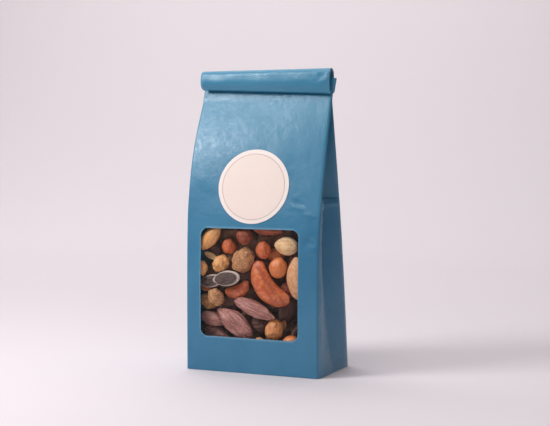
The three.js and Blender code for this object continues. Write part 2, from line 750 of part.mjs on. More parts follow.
const pouch = new THREE.Group();
const contents = new THREE.Group();
const nuts = settleNuts();
pouch.add(piece('bag_paper', bagPaper(), paperMaterial()));
pouch.add(piece('window_film', windowFilm(), filmMaterial()));
pouch.add(piece('round_label', roundLabel(), labelMaterial()));
for (const { name, colour, geometry } of nuts) contents.add(piece(name, geometry, nutMaterial(colour)));
contents.add(piece('nut_heap', nutHeap(nuts), nutMaterial(0x6b4a38)));
pouch.add(contents);

export default pouch;
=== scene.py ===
"""Looks for a filled stand-up paper pouch with a rolled top, a film window, a round label and mixed nuts.

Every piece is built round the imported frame. Working sizes are in millimetres and meshes are in metres.
"""

import logging
import math
from dataclasses import dataclass, field
from enum import Enum
from typing import Callable, Iterable, Sequence, Union

import bpy
import numpy as np
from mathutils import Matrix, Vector, noise


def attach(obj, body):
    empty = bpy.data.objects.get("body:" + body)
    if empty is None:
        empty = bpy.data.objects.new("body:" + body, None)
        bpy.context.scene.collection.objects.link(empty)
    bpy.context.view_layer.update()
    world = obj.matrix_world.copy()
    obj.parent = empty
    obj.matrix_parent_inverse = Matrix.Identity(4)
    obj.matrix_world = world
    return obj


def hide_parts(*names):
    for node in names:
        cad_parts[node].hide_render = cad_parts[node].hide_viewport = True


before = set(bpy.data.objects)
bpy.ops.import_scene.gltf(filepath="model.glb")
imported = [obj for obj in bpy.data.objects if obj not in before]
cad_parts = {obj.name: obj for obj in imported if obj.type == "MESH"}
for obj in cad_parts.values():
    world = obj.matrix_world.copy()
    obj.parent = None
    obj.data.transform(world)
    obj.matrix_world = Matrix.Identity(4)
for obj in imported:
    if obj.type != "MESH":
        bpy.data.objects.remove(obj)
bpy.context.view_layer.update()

log = logging.getLogger("pouch")

MM = 0.001
NEAR = 1e-4  # metres within which two places count as one
Colour = tuple[float, float, float]
Point = tuple[float, float, float]


def lerp(a: float, b: float, share: float) -> float:
    """Value that lies at a share of the way from a to b."""
    return a + (b - a) * share


def clamp(value: float, low: float = 0.0, high: float = 1.0) -> float:
    """Value kept between low and high."""
    return max(low, min(high, value))


def smoothstep(value: float, start: float, end: float) -> float:
    """Soft step from 0 at start to 1 at end."""
    t = clamp((value - start) / (end - start))
    return t * t * (3 - 2 * t)


def linear(red: int, green: int, blue: int) -> Colour:
    """Display colour (0 to 255) as the linear values that a shader takes."""

    def channel(value: int) -> float:
        """One part of the colour."""
        share = value / 255
        return share / 12.92 if share <= 0.04045 else ((share + 0.055) / 1.055) ** 2.4

    return channel(red), channel(green), channel(blue)


# Shader maths


class Shade:
    """One output of a shader node, with the operators that add Math nodes to its tree."""

    def __init__(self, tree: bpy.types.NodeTree, socket: bpy.types.NodeSocket) -> None:
        """Wraps a socket.

        Args:
            tree: Node tree that the socket is in.
            socket: Output socket.
        """
        self.tree = tree
        self.socket = socket

    def _maths(self, operation: str, *values: Union["Shade", float]) -> "Shade":
        """Adds a Math node.

        Args:
            operation: Name of the operation.
            values: Its inputs, sockets or numbers.

        Returns:
            The node's output.
        """
        node = self.tree.nodes.new("ShaderNodeMath")
        node.operation = operation
        for slot, value in zip(node.inputs, values):
            if isinstance(value, Shade):
                self.tree.links.new(value.socket, slot)
            else:
                slot.default_value = value
        return Shade(self.tree, node.outputs[0])

    def __add__(self, other: Union["Shade", float]) -> "Shade":
        """Sum."""
        return self._maths("ADD", self, other)

    def __radd__(self, other: float) -> "Shade":
        """Sum with a number on the left."""
        return self._maths("ADD", other, self)

    def __sub__(self, other: Union["Shade", float]) -> "Shade":
        """Difference."""
        return self._maths("SUBTRACT", self, other)

    def __mul__(self, other: Union["Shade", float]) -> "Shade":
        """Product."""
        return self._maths("MULTIPLY", self, other)

    def __truediv__(self, other: Union["Shade", float]) -> "Shade":
        """Quotient."""
        return self._maths("DIVIDE", self, other)

    def __abs__(self) -> "Shade":
        """Size without sign."""
        return self._maths("ABSOLUTE", self)

    def least(self, other: Union["Shade", float]) -> "Shade":
        """The smaller of two values."""
        return self._maths("MINIMUM", self, other)

    def root(self) -> "Shade":
        """Square root."""
        return self._maths("SQRT", self)

    def step(self, start: float, end: float) -> "Shade":
        """Soft step from 0 at start to 1 at end, or the other way where end is lower.

        Args:
            start: Value at which the step begins.
            end: Value at which it is complete.

        Returns:
            The step, kept between 0 and 1.
        """
        node = self.tree.nodes.new("ShaderNodeMapRange")
        node.interpolation_type = "SMOOTHSTEP"
        low, high = min(start, end), max(start, end)
        node.inputs["From Min"].default_value = low
        node.inputs["From Max"].default_value = high
        node.inputs["To Min"].default_value = 0.0 if start < end else 1.0
        node.inputs["To Max"].default_value = 1.0 if start < end else 0.0
        self.tree.links.new(self.socket, node.inputs["Value"])
        return Shade(self.tree, node.outputs[0])


class Finish:
    """Node tree of one material, with the few calls that every finish here needs."""

    def __init__(self, name: str) -> None:
        """Starts a material with an empty tree.

        Args:
            name: Name of the material.
        """
        self.material = bpy.data.materials.new(name)
        self.material.use_nodes = True
        self.tree = self.material.node_tree
        self.tree.nodes.clear()
        self.surface = self.tree.nodes.new("ShaderNodeOutputMaterial").inputs["Surface"]

    def node(self, kind: str, out: Union[int, str] = 0, settings: dict | None = None,
             **values: object) -> Shade:
        """Adds any node.

        Args:
            kind: Node type.
            out: Output that is returned.
            settings: Properties, set before the sockets.
            values: Socket values or links, with _ for a space in the socket's name.

        Returns:
            The chosen output.
        """
        node = self.tree.nodes.new(kind)
        for key, value in (settings or {}).items():
            setattr(node, key, value)
        for key, value in values.items():
            slot = self._socket(node, key)
            if isinstance(value, Shade):
                self.tree.links.new(value.socket, slot)
            elif isinstance(value, tuple) and len(value) == 3 and slot.type == "RGBA":
                slot.default_value = (*value, 1.0)
            else:
                slot.default_value = value
        return Shade(self.tree, node.outputs[out])

    @staticmethod
    def _socket(node: bpy.types.Node, key: str) -> bpy.types.NodeSocket:
        """Input by its name with _ for a space, or by its number after a leading i."""
        if key[0] == "i" and key[1:].isdigit():
            return node.inputs[int(key[1:])]
        return node.inputs[key.replace("_", " ")]

    def place(self) -> Shade:
        """Object coordinates, in metres."""
        return self.node("ShaderNodeTexCoord", "Object")

    def attribute(self, name: str) -> Shade:
        """Vector kept on the piece's mesh."""
        return self.node("ShaderNodeAttribute", "Vector", {"attribute_name": name})

    def stretch(self, vector: Shade, scale: Point) -> Shade:
        """Scales coordinates."""
        return self.node("ShaderNodeMapping", Vector=vector, Scale=scale)

    def parts(self, vector: Shade) -> tuple[Shade, Shade, Shade]:
        """The three parts of a vector."""
        split = self.node("ShaderNodeSeparateXYZ", Vector=vector)
        outputs = split.socket.node.outputs
        return tuple(Shade(self.tree, outputs[k]) for k in range(3))

    def cloud(self, vector: Shade, scale: float, detail: float = 3.0, rough: float = 0.5) -> Shade:
        """Noise from 0 to 1, around 0.5."""
        return self.node("ShaderNodeTexNoise", 0, Vector=vector, Scale=scale, Detail=detail, Roughness=rough)

    def mix(self, share: Union[Shade, float], first: Union[Shade, Colour],
            second: Union[Shade, Colour]) -> Shade:
        """Mixes two colours.

        Args:
            share: Share of the second one.
            first: Colour, or its socket.
            second: Colour, or its socket.

        Returns:
            The mixed colour.
        """
        return self.node("ShaderNodeMix", 2, {"data_type": "RGBA"}, i0=share, i6=first, i7=second)

    def bump(self, height: Shade, distance: float, strength: float = 1.0, **under: Shade) -> Shade:
        """Normal tilted by a height.

        Args:
            height: Height from 0 to 1.
            distance: What 1 stands for, in metres.
            strength: Share of the effect.
            under: Normal that it starts from, if any.

        Returns:
            The normal.
        """
        return self.node("ShaderNodeBump", Height=height, Distance=distance, Strength=strength, **under)

    def shell(self, **values: object) -> Shade:
        """Principled shader."""
        return self.node("ShaderNodeBsdfPrincipled", **values)

    def close(self, shader: Shade) -> bpy.types.Material:
        """Links the shader to the surface and returns the material."""
        self.tree.links.new(shader.socket, self.surface)
        return self.material


# Form of the folded sheet


@dataclass(frozen=True)
class BagForm:
    """Sizes of the bag and the faces of its panels, in millimetres."""

    width: float = 86.0
    depth: float = 50.6
    height: float = 181.7
    shoulder: float = 104.0
    neck: float = 164.0
    neck_y: float = -2.3
    twist: float = math.radians(1.25)
    left_setback: float = 2.0
    left_bow: float = 3.2
    right_setback: float = 5.0
    right_bow: float = 0.4
    edge_ease: float = 4.8
    shoulder_ease: float = 12.0
    lean_bow: float = 1.0
    back_bow: float = 2.6
    front_bulge: float = 1.5
    back_bulge: float = 2.0
    corner: float = 1.2
    nose: float = 0.15
    low_fold: float = 0.5
    fold_span: float = 12.0
    paper: float = 0.2
    layer_gap: float = 0.25

    @property
    def half(self) -> float:
        """Half of the width."""
        return self.width / 2

    @property
    def pitch(self) -> float:
        """Thickness of two folded layers with the gap between them."""
        return 2 * self.paper + self.layer_gap

    @property
    def stack(self) -> float:
        """Half the thickness of the four folded layers."""
        return self.pitch + self.layer_gap / 2

    def twist_at(self, x: float) -> float:
        """Turn of the roll against the base, as a move along Y."""
        return -x * math.tan(self.twist)

    def edge_y(self, z: float, right: bool) -> float:
        """Front panel's outer face at its left or right edge, with the shoulder eased."""
        ease = self.shoulder_ease * (1 - smoothstep(abs(z - self.shoulder), 0.0, 24.0))
        return sum(self.sharp_edge_y(z + step * ease, right) for step in (-1, -0.5, 0, 0.5, 1)) / 5

    def sharp_edge_y(self, z: float, right: bool) -> float:
        """Front panel's outer face at its left or right edge, sharp at the shoulder."""
        setback = self.right_setback if right else self.left_setback
        bow = self.right_bow if right else self.left_bow
        x = self.half if right else -self.half
        if z <= self.shoulder:
            return -self.depth / 2 + setback * (z / self.shoulder) ** self.edge_ease
        rise = (z - self.shoulder) / (self.neck - self.shoulder)
        top = self.neck_y + self.twist_at(x) - self.stack
        return lerp(setback - self.depth / 2, top, rise) - bow * math.sin(math.pi * rise)

    def bulge(self, x: float, z: float) -> float:
        """Share of the panels' swelling at one place."""
        across = 1 - (x / self.half) ** 2
        return across * math.sin(math.pi * clamp(z / (1.2 * self.shoulder)))

    def front(self, x: float, z: float) -> float:
        """Outer face of the front panel."""
        flat = lerp(self.edge_y(z, False), self.edge_y(z, True), x / self.width + 0.5)
        rise = clamp((z - self.shoulder) / (self.neck - self.shoulder))
        lean = self.lean_bow * (1 - (x / self.half) ** 2) * math.sin(math.pi * rise) ** 2
        return flat - self.front_bulge * self.bulge(x, z) - lean

    def back(self, x: float, z: float) -> float:
        """Outer face of the back panel."""
        rise = z / self.neck
        top = self.neck_y + self.twist_at(x) + self.stack
        flat = lerp(self.depth / 2, top, rise) + self.back_bow * math.sin(math.pi * rise)
        return flat + self.back_bulge * self.bulge(x, z)

    def fold_share(self, z: float) -> float:
        """How much of its full fold the gusset takes."""
        start = self.shoulder - self.fold_span / 3
        return lerp(self.low_fold, 1.0, smoothstep(z, start, start + self.fold_span))


@dataclass(frozen=True)
class RollForm:
    """Middle line of the rolled top, from the neck up, over, down and in, in millimetres."""

    bag: BagForm = field(default_factory=BagForm)
    bottom_left: float = 170.0
    bottom_right: float = 166.4
    back_y: float = 0.2
    span: float = 6.3
    inner_span: float = 2.6
    front_bulge: float = 0.5
    inner_drop: float = 5.2
    slide: float = 3.2
    rise_steps: int = 9
    bend_steps: int = 12
    front_steps: int = 9
    tuck: float = 0.9
    turn_steps: int = 10
    inner_steps: int = 7

    def line(self, x: float) -> list[tuple[float, float]]:
        """Middle line at one place across the bag, as Y and Z."""
        twist = self.bag.twist_at(x)
        back = self.back_y + twist
        front = back - self.span
        inner = front + self.inner_span
        top = self.bag.height - self.bag.stack
        bottom = lerp(self.bottom_left, self.bottom_right, x / self.bag.width + 0.5) + self.bag.stack
        radius, turn_radius = self.span / 2, (self.inner_span - self.tuck) / 2
        points = []
        for k in range(self.rise_steps + 1):
            t = k / self.rise_steps
            y = lerp(self.bag.neck_y + twist, back, math.sin(t * math.pi / 2))
            points.append((y, lerp(self.bag.neck, top - radius, t)))
        for k in range(1, self.bend_steps + 1):
            turn = math.pi * k / self.bend_steps
            points.append((back - radius + radius * math.cos(turn), top - radius + radius * math.sin(turn)))
        for k in range(1, self.front_steps + 1):
            t = k / self.front_steps
            y = front - self.front_bulge * math.sin(math.pi * t) + self.tuck * t ** 3
            points.append((y, lerp(top - radius, bottom + turn_radius, t)))
        for k in range(1, self.turn_steps + 1):
            turn = math.pi * (1 + k / self.turn_steps)
            y = front + self.tuck + turn_radius + turn_radius * math.cos(turn)
            points.append((y, bottom + turn_radius + turn_radius * math.sin(turn)))
        for k in range(1, self.inner_steps + 1):
            points.append((inner, lerp(bottom + turn_radius, top - self.inner_drop, k / self.inner_steps)))
        return points

    def slide_at(self, step: int) -> float:
        """How far the sheet has slid out of the right end at one step along the line."""
        count = self.rise_steps + self.bend_steps + self.front_steps
        return self.slide * clamp((step - count) / (self.turn_steps + self.inner_steps))


@dataclass(frozen=True)
class Crease:
    """Soft line pressed into a panel, from one place to another, in millimetres."""

    start: tuple[float, float]
    end: tuple[float, float]
    width: float
    height: float

    def lift(self, x: float, z: float) -> float:
        """Height of the crease at one place, positive outwards."""
        run = np.subtract(self.end, self.start)
        length = float(np.hypot(*run))
        along = float(np.dot(np.subtract((x, z), self.start), run)) / length ** 2
        nearest = np.add(self.start, run * clamp(along))
        away = float(np.hypot(x - nearest[0], z - nearest[1]))
        taper = math.sin(math.pi * clamp(along, 0.04, 0.96))
        return self.height * taper * math.exp(-(away / self.width) ** 1.5)


# Finishes


@dataclass(frozen=True)
class PaperFinish:
    """Dyed satin paper: cloudy blue, painted a lighter teal towards the top as painted light, and paler along
    the folds and the cut of the window, where the folds are partly wear and partly a painted highlight.
    """

    blue: Colour = linear(42, 111, 147)
    pale: Colour = linear(72, 138, 168)
    # Lighter teal painted onto the upper panel as painted light, where it leans back towards the lamps.
    painted_light_teal: Colour = linear(44, 128, 158)
    deep: Colour = linear(40, 92, 128)
    # Pale tone for the window's cut, which shows the paper's pale core, and for the folds, where it is partly
    # wear and partly a painted highlight.
    pale_core_and_highlight: Colour = linear(124, 172, 196)
    roughness: float = 0.42
    crumple_depth: float = 0.34
    fibre_depth: float = 0.08
    shine: float = 0.66

    def dress(self) -> bpy.types.Material:
        """Builds the material.

        Returns:
            The material of the bag.
        """
        finish = Finish("blue_paper")
        place = finish.place()
        broad = finish.cloud(place, 22, 3, 0.55)
        fine = finish.cloud(place, 420, 4, 0.6)
        fibre = finish.cloud(finish.stretch(place, (1, 1, 2.6)), 1500, 2, 0.5)
        _, _, height = finish.parts(place)
        # Painted light: the upper panel is mixed towards a lighter teal with height, where it leans back and
        # catches more light.
        colour = finish.mix(height.step(0.08, 0.17) * 0.5, self.blue, self.painted_light_teal)
        colour = finish.mix(broad.step(0.35, 0.7) * 0.3, colour, self.pale)
        colour = finish.mix(fine.step(0.5, 0.75) * 0.16, colour, self.deep)
        fold = finish.node("ShaderNodeAttribute", "Fac", {"attribute_name": "fold"})
        cut = finish.node("ShaderNodeAttribute", "Fac", {"attribute_name": "cut"})
        # Folds painted paler: partly worn dye, partly a painted highlight along the fold edges.
        colour = finish.mix((fold * (0.1 + fine * 0.3)).least(1.0), colour, self.pale_core_and_highlight)
        colour = finish.mix(cut * 0.55, colour, self.pale_core_and_highlight)
        crumple = finish.cloud(place, 300, 5, 0.66)
        relief = fine * 0.6 + fibre * 0.4
        normal = finish.bump(relief, self.fibre_depth * MM, 0.6)
        normal = finish.bump(crumple, self.crumple_depth * MM, 0.6, Normal=normal)
        gloss = self.roughness + (crumple - 0.5) * 0.42 + (fine - 0.5) * 0.2
        return finish.close(finish.shell(
            Base_Color=colour, Roughness=gloss, Normal=normal, Specular_IOR_Level=self.shine))


@dataclass(frozen=True)
class FilmFinish:
    """Clear thin film that only shows where it mirrors a light."""

    tint: Colour = linear(250, 251, 252)
    mirror_share: float = 0.3
    roughness: float = 0.12

    def dress(self) -> bpy.types.Material:
        """Builds the material.

        Returns:
            The material of the film.
        """
        finish = Finish("clear_film")
        ripple = finish.cloud(finish.place(), 30, 2, 0.5)
        normal = finish.bump(ripple, 0.0008, 0.4)
        gloss = finish.shell(
            Base_Color=self.tint, Roughness=self.roughness, Normal=normal, Specular_IOR_Level=0.5, Alpha=1.0)
        clear = finish.node("ShaderNodeBsdfTransparent", Color=(1.0, 1.0, 1.0))
        mirror = finish.node("ShaderNodeFresnel", IOR=1.35)
        share = mirror * self.mirror_share
        return finish.close(finish.node("ShaderNodeMixShader", Fac=share, i1=clear, i2=gloss))


@dataclass(frozen=True)
class LabelFinish:
    """Uncoated cream paper with a paler rim and one thin ring line."""

    radius: float
    centre: Point
    cream: Colour = linear(234, 217, 208)
    rim: Colour = linear(238, 226, 221)
    line: Colour = linear(178, 152, 144)
    line_at: float = 0.885
    line_half: float = 0.008

    def dress(self) -> bpy.types.Material:
        """Builds the material.

        Returns:
            The material of the label.
        """
        finish = Finish("label_paper")
        place = finish.place()
        x, y, z = finish.parts(place)
        across, up = x - self.centre[0], z - self.centre[2]
        lean = y - self.centre[1]
        away = (across * across + up * up + lean * lean).root() / self.radius
        fibre = finish.cloud(place, 900, 4, 0.6)
        colour = finish.mix(away.step(self.line_at - 0.01, self.line_at + 0.01) * 0.8, self.cream, self.rim)
        ring = abs(away - self.line_at).step(self.line_half * 1.7, self.line_half * 0.7)
        colour = finish.mix(ring * 0.8, colour, self.line)
        colour = finish.mix(fibre.step(0.5, 0.8) * 0.1, colour, self.line)
        normal = finish.bump(fibre, 0.00004, 0.5)
        return finish.close(finish.shell(Base_Color=colour, Roughness=0.62 + fibre * 0.1, Normal=normal))


class Skin(Enum):
    """Kinds of surface that the nuts and seeds have."""

    ALMOND = "almond"
    HAZELNUT = "hazelnut"
    CASHEW = "cashew"
    CRUST = "crust"
    SHELL = "shell"
    BLANCHED = "blanched"


@dataclass(frozen=True)
class KernelFinish:
    """Surface of a nut: two tones, lengthwise grooves, speckles and dust of salt."""

    skin: Skin
    base: Colour
    second: Colour
    groove: Colour
    dust: Colour = linear(226, 204, 196)
    grooving: float = 0.5
    groove_scale: float = 0.9
    speckle: float = 0.5
    speckle_scale: float = 0.6
    dusting: float = 0.0
    rim: float = 0.0
    relief: float = 0.35
    roughness: float = 0.5

    def dress(self, name: str) -> bpy.types.Material:
        """Builds the material.

        Args:
            name: Name of the piece.

        Returns:
            The piece's own material.
        """
        finish = Finish(f"{name}_skin")
        grain = finish.attribute("grain")
        reach = finish.node("ShaderNodeAttribute", "Fac", {"attribute_name": "reach"})
        lengthwise = finish.stretch(grain, (0.16, 1.0, 1.0))
        grooves = finish.cloud(lengthwise, self.groove_scale, 4, 0.55)
        speckles = finish.cloud(grain, self.speckle_scale, 5, 0.62)
        grit = finish.cloud(grain, 2.6, 4, 0.65)
        colour = finish.mix(speckles.step(0.42, 0.62) * self.speckle, self.base, self.second)
        colour = finish.mix(grit.step(0.52, 0.3) * 0.55, colour, self.groove)
        colour = finish.mix(grooves.step(0.56, 0.36) * self.grooving, colour, self.groove)
        if self.dusting:
            powder = (grooves.step(0.42, 0.7) * 0.6 + grit.step(0.4, 0.72) * 0.6) * self.dusting
            colour = finish.mix(powder.least(1.0), colour, self.dust)
        if self.rim:
            colour = finish.mix(reach.step(0.78, 0.93) * self.rim, colour, self.dust)
        height = grooves * (0.4 + 0.6 * self.grooving) + speckles * 0.5 + grit * 0.25
        normal = finish.bump(height, self.relief * 1.3 * MM, 1.0)
        gloss = self.roughness + (grit - 0.5) * 0.3
        return finish.close(finish.shell(
            Base_Color=colour, Roughness=gloss, Normal=normal, Specular_IOR_Level=0.6))


# Mesh helpers


def deselect() -> None:
    """Leaves object mode with nothing selected."""
    if bpy.context.object and bpy.context.object.mode != "OBJECT":
        bpy.ops.object.mode_set(mode="OBJECT")
    bpy.ops.object.select_all(action="DESELECT")


def added(name: str) -> bpy.types.Object:
    """Names the primitive that was just added and returns it."""
    piece = bpy.context.object
    piece.name = name
    piece.data.name = name
    return piece


def choose(piece: bpy.types.Object) -> None:
    """Makes one object the selected and active one."""
    deselect()
    piece.select_set(True)
    bpy.context.view_layer.objects.active = piece


def edit(piece: bpy.types.Object, *steps: Callable[[], object]) -> None:
    """Runs edit-mode operators on all of a piece's mesh.

    Args:
        piece: Object to edit.
        steps: Operators, in order.
    """
    choose(piece)
    bpy.ops.object.mode_set(mode="EDIT")
    bpy.ops.mesh.select_all(action="SELECT")
    for step in steps:
        step()
    bpy.ops.object.mode_set(mode="OBJECT")


def select_where(piece: bpy.types.Object, wanted: Callable[[Vector], bool]) -> None:
    """Selects the vertices that pass a test, and the edges between them."""
    vertices = piece.data.vertices
    for vertex in vertices:
        vertex.select = wanted(vertex.co)
    for edge in piece.data.edges:
        edge.select = all(vertices[k].select for k in edge.vertices)


def select_edges(piece: bpy.types.Object, wanted: Callable[[Vector, Vector], bool]) -> None:
    """Selects the edges whose two ends pass a test."""
    for edge in piece.data.edges:
        edge.select = wanted(*(piece.data.vertices[k].co for k in edge.vertices))


def apply_modifier(piece: bpy.types.Object, kind: str, **settings: object) -> None:
    """Adds a modifier and applies it at once.

    Args:
        piece: Object that takes it.
        kind: Modifier type.
        settings: Its properties.
    """
    choose(piece)
    modifier = piece.modifiers.new(kind.lower(), kind)
    for key, value in settings.items():
        setattr(modifier, key, value)
    bpy.ops.object.modifier_apply(modifier=modifier.name)


def set_places(piece: bpy.types.Object, places: np.ndarray) -> None:
    """Puts a mesh's vertices at new places, in metres."""
    piece.data.vertices.foreach_set("co", np.asarray(places, np.float32).ravel())
    piece.data.update()


def places_of(piece: bpy.types.Object) -> np.ndarray:
    """A mesh's vertices, in metres."""
    places = np.empty(len(piece.data.vertices) * 3, np.float32)
    piece.data.vertices.foreach_get("co", places)
    return places.reshape(-1, 3).astype(float)


def mark(piece: bpy.types.Object, name: str, values: Sequence[float]) -> None:
    """Keeps one number for each vertex on a mesh."""
    layer = piece.data.attributes.new(name, "FLOAT", "POINT")
    layer.data.foreach_set("value", np.asarray(values, np.float32))


def ripple(x: float, y: float, z: float, size: float) -> float:
    """Soft noise around 0, for a ripple of the given size in millimetres."""
    return noise.noise(Vector((x, y, z)) / size)


def finish_piece(piece: bpy.types.Object, material: bpy.types.Material, slot: str,
                 nodes: Iterable[str]) -> None:
    """Dresses a piece, ties it to the body and hides the CAD nodes that it stands for.

    Args:
        piece: Finished object.
        material: Its material.
        slot: Not used.
        nodes: CAD nodes that it stands for.
    """
    piece.data.materials.clear()
    piece.data.materials.append(material)
    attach(piece, "root")
    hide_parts(*nodes)
    log.info("%s: %d faces", piece.name, len(piece.data.polygons))


# The bag


@dataclass
class BagPaper:
    """The folded sheet: panels, gussets, rolled top and folded bottom in one skin with a real thickness."""

    form: BagForm = field(default_factory=BagForm)
    roll: RollForm = field(default_factory=RollForm)
    window_width: float = 63.8
    window_height: float = 65.2
    window_middle: tuple[float, float] = (-1.4, 53.9)
    window_corner: float = 4.5
    wave_height: float = 0.175
    side_wave_height: float = 0.5
    side_swell: float = 0.8
    side_dent: float = 0.1
    smooth_below: float = math.radians(50)
    front_columns: int = 78
    back_columns: int = 40
    corner_steps: int = 4
    gusset_steps: int = 12
    body_rows: tuple[tuple[float, float, int], ...] = ((0.2, 88.0, 58), (88.0, 110.0, 36), (110.0, 164.0, 44))
    front_creases: tuple[Crease, ...] = (
        Crease((24.0, 101.5), (35.5, 97.0), 1.2, 0.5),
        Crease((31.0, 96.5), (41.5, 94.0), 1.3, 0.6),
        Crease((26.0, 104.5), (33.0, 100.0), 1.1, -0.6),
        Crease((33.5, 82.0), (41.0, 77.5), 1.4, -0.7),
        Crease((34.0, 76.0), (41.5, 74.5), 1.3, 0.7),
        Crease((9.0, 150.0), (14.0, 134.0), 1.6, 0.12),
        Crease((30.0, 24.0), (40.0, 19.5), 1.5, 0.3),
        Crease((-34.0, 141.0), (-12.0, 128.0), 4.0, 0.15),
        Crease((-20.0, 156.0), (4.0, 141.0), 4.5, 0.18),
        Crease((-39.0, 120.0), (-30.0, 112.0), 3.0, 0.2),
    )
    roll_creases: tuple[Crease, ...] = (
        Crease((35.2, 184.0), (41.2, 165.0), 0.6, 0.7),
        Crease((36.6, 184.0), (42.6, 165.0), 0.8, -0.5),
    )
    side_creases: tuple[Crease, ...] = (
        Crease((-24.0, 105.0), (24.0, 104.6), 1.2, -1.3),
        Crease((-24.0, 101.4), (24.0, 101.8), 1.6, 0.7),
        Crease((-21.5, 103.0), (-6.0, 93.0), 0.9, 0.9),
        Crease((-20.5, 100.0), (-10.0, 91.0), 0.9, -0.7),
        Crease((-21.0, 97.0), (-16.0, 90.0), 0.8, 0.6),
        Crease((-12.0, 133.0), (-1.0, 130.0), 3.5, 0.9),
        Crease((2.0, 104.0), (20.0, 95.0), 1.1, 0.7),
    )

    def side(self, front: float, back: float, share: float) -> tuple[float, list[tuple[float, float]]]:
        """One gusset in one section.

        Args:
            front: Outer face of the front panel at this side.
            back: Outer face of the back panel at this side.
            share: Share of its full fold that the gusset takes.

        Returns:
            Width of the corner, and distances in from the side with their places from front to back.
        """
        form = self.form
        half, middle = (back - front) / 2, (back + front) / 2
        drop = min(form.corner, half - form.layer_gap / 2)
        inset = share * math.sqrt(max((form.depth / 2) ** 2 - half ** 2, 0.0))
        nose = lerp(form.nose, form.corner, (drop - form.pitch) / (form.corner - form.pitch))
        points = []
        for k in range(1, self.corner_steps + 1):
            turn = math.pi / 2 * k / self.corner_steps
            points.append((nose * (1 - math.sin(turn)), front + drop * (1 - math.cos(turn))))
        curl = math.log(0.5 - 0.2 * (1 - share)) / math.log(0.5)
        for k in range(1, self.gusset_steps + 1):
            t = k / self.gusset_steps
            points.append((inset * t ** curl, lerp(front + drop, middle - form.layer_gap / 2, t)))
        mirrored = [(away, front + back - y) for away, y in reversed(points)]
        return nose, points + mirrored

    def loop(self, front: Callable[[float], float], back: Callable[[float], float],
             share: float) -> list[tuple[float, float, str]]:
        """One section of the tube, counter-clockwise from above, each point with its panel's name."""
        half = self.form.half
        right_nose, right = self.side(front(half), back(half), share)
        left_nose, left = self.side(front(-half), back(-half), share)
        points = []
        for k in range(self.front_columns + 1):
            x = lerp(left_nose - half, half - right_nose, k / self.front_columns)
            points.append((x, front(x), "front"))
        points += [(half - away, y, "right") for away, y in right]
        for k in range(self.back_columns, -1, -1):
            x = lerp(left_nose - half, half - right_nose, k / self.back_columns)
            points.append((x, back(x), "back"))
        points += [(away - half, y, "left") for away, y in reversed(left)]
        return points

    def wrinkle(self, x: float, y: float, z: float, panel: str) -> tuple[float, float]:
        """Small move of the sheet along X and Y, which gives it its creases and soft waves."""
        fade = smoothstep(z, 3.0, 14.0) * (1 - smoothstep(z, 156.0, 164.0))
        if panel in ("front", "back"):
            side = smoothstep(self.form.half - abs(x), 0.5, 8.0)
            wave = ripple(x, 3.0, z, 21) + 0.44 * ripple(x, 9.0, z, 9)
            lift = self.wave_height * wave * side * fade
            if panel == "front":
                lift += sum(crease.lift(x, z) for crease in self.front_creases) * fade
                return 0.0, -lift
            return 0.0, lift
        edge = self.form.half if panel == "right" else -self.form.half
        inner = smoothstep(min(y - self.form.front(edge, z), self.form.back(edge, z) - y), 0.8, 4.5)
        wave = ripple(5.0, y, z, 17) + 0.4 * ripple(8.0, y, z, 7)
        lift = self.side_wave_height * wave * inner * fade
        lift += sum(crease.lift(y, z) for crease in self.side_creases) * inner * fade
        if z < self.form.shoulder:
            lift = max(lift, -self.side_dent) + self.side_dent + self.side_swell * inner
        return (lift if panel == "right" else -lift), 0.0

    def face(self, x: float, z: float) -> float:
        """Outer face of the front panel with its creases."""
        return self.form.front(x, z) + self.wrinkle(x, 0.0, z, "front")[1]

    def body_row(self, z: float) -> list[tuple[Point, float]]:
        """Points of the tube at one height of the body, each with its share of wear and painted highlight."""
        form = self.form
        row = []
        section = self.loop(lambda x: form.front(x, z), lambda x: form.back(x, z), form.fold_share(z))
        for x, y, panel in section:
            move_x, move_y = self.wrinkle(x, y, z, panel)
            row.append(((x + move_x, y + move_y, z), self.wear_and_highlight(x, panel)))
        return row

    def wear_and_highlight(self, x: float, panel: str) -> float:
        """How pale the sheet is painted: most on the corners between a panel and a gusset, partly wear and
        partly a painted highlight along the fold.
        """
        near = self.form.half - abs(x)
        reach = 0.9 if panel in ("front", "back") else 0.4
        return clamp(1 - near / reach)

    def roll_row(self, step: int) -> list[tuple[Point, float]]:
        """Points of the tube at one step along the roll, each with its share of wear and painted highlight.
        """
        form, roll = self.form, self.roll
        row = []
        slide = roll.slide_at(step)
        for x, across, panel in self.loop(lambda _: -form.stack, lambda _: form.stack, 1.0):
            line = roll.line(x)
            y, z = line[step]
            y0, z0 = line[max(step - 1, 0)]
            y1, z1 = line[min(step + 1, len(line) - 1)]
            length = math.hypot(y1 - y0, z1 - z0)
            along = ((y1 - y0) / length, (z1 - z0) / length)
            out = across * along[1] - self.roll_wave(x, z, step)
            row.append(((x + slide, y + out, z - across * along[0]), self.wear_and_highlight(x, panel)))
        return row

    def roll_wave(self, x: float, z: float, step: int) -> float:
        """Soft waves along the roll and the slanted fold at its right end, none of them at the neck."""
        share = smoothstep(step, self.roll.rise_steps, self.roll.rise_steps + self.roll.bend_steps)
        fade = 1 - smoothstep(step, 33, 40)
        wave = 0.55 * ripple(x, 2.0, z * 0.4, 20) + 0.22 * ripple(x, 7.0, z, 8)
        fold = sum(crease.lift(x, z) for crease in self.roll_creases)
        return share * fade * (wave + fold)

    def rows(self) -> list[list[tuple[Point, float]]]:
        """Every section of the tube, from the floor to the open end inside the roll."""
        heights = [lerp(low, high, k / count) for low, high, count in self.body_rows for k in range(count)]
        rows = [self.body_row(z) for z in heights]
        rows += [self.roll_row(step) for step in range(len(self.roll.line(0.0)))]
        return rows

